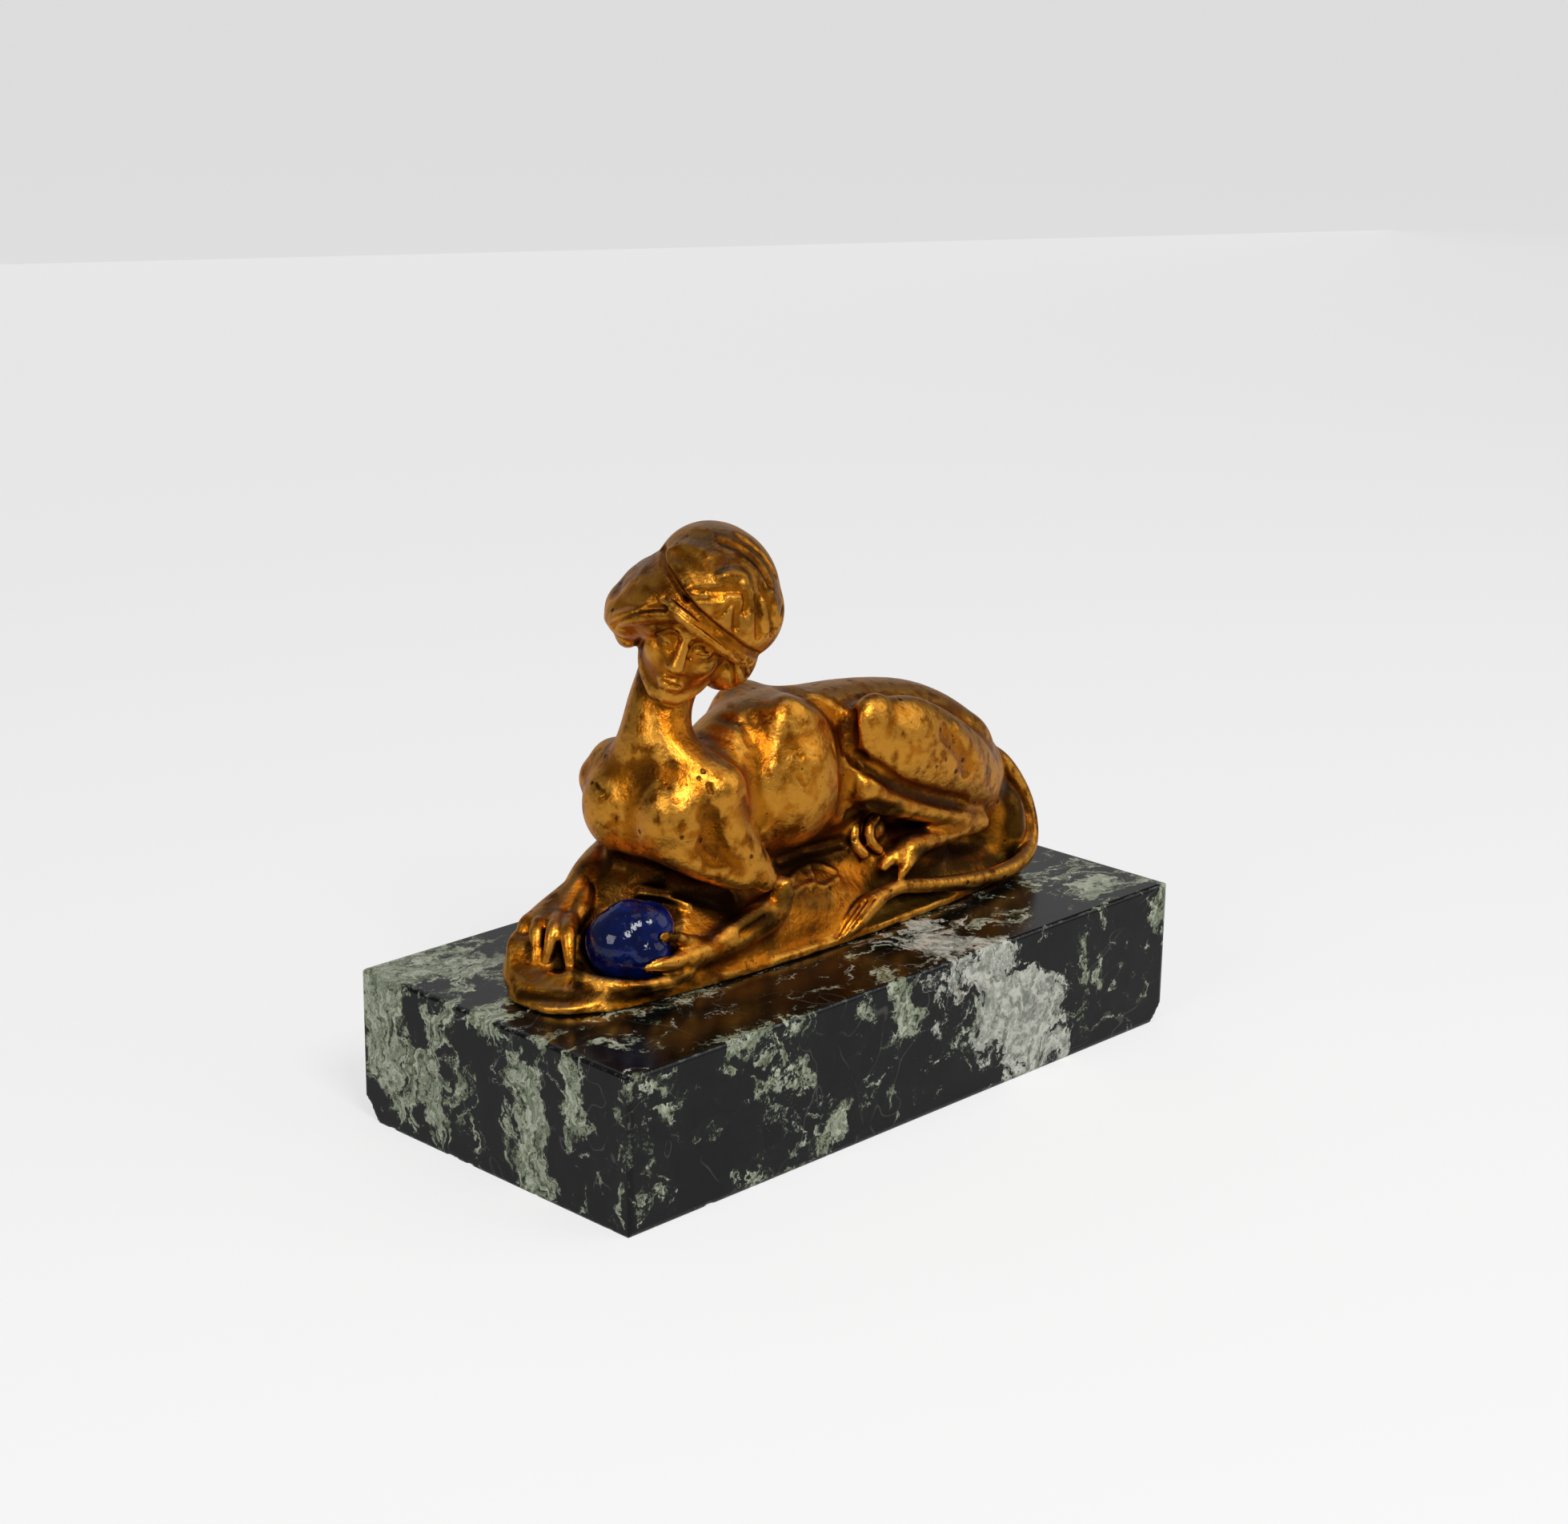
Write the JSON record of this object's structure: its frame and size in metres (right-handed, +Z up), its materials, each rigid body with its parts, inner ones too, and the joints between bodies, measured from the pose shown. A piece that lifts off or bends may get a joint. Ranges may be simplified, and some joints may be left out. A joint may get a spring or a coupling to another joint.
{
  "type": "sphinx statue",
  "caption": "Desk ornament: gilt bronze recumbent sphinx with a turbaned woman's head, holding a blue stone in its hands, on a rectangular veined marble plinth.",
  "frame": {"origin": "centre of the plinth's underside", "axes": "+Z up, +Y along the plinth from the head end to the tail end, +X towards the sphinx's left side, which the picture shows"},
  "size_m": [0.059, 0.12, 0.0916],
  "materials": {
    "green_marble": "polished dark green and black marble with pale veins, opaque",
    "gilt_bronze": "satin gilt bronze with dark patina in the hollows",
    "blue_stone": "polished deep blue stone, opaque"
  },
  "bodies": {
    "root": {"marble_plinth": "green_marble", "bronze_sphinx": "gilt_bronze", "blue_stone": "blue_stone"}
  },
  "joints": []
}
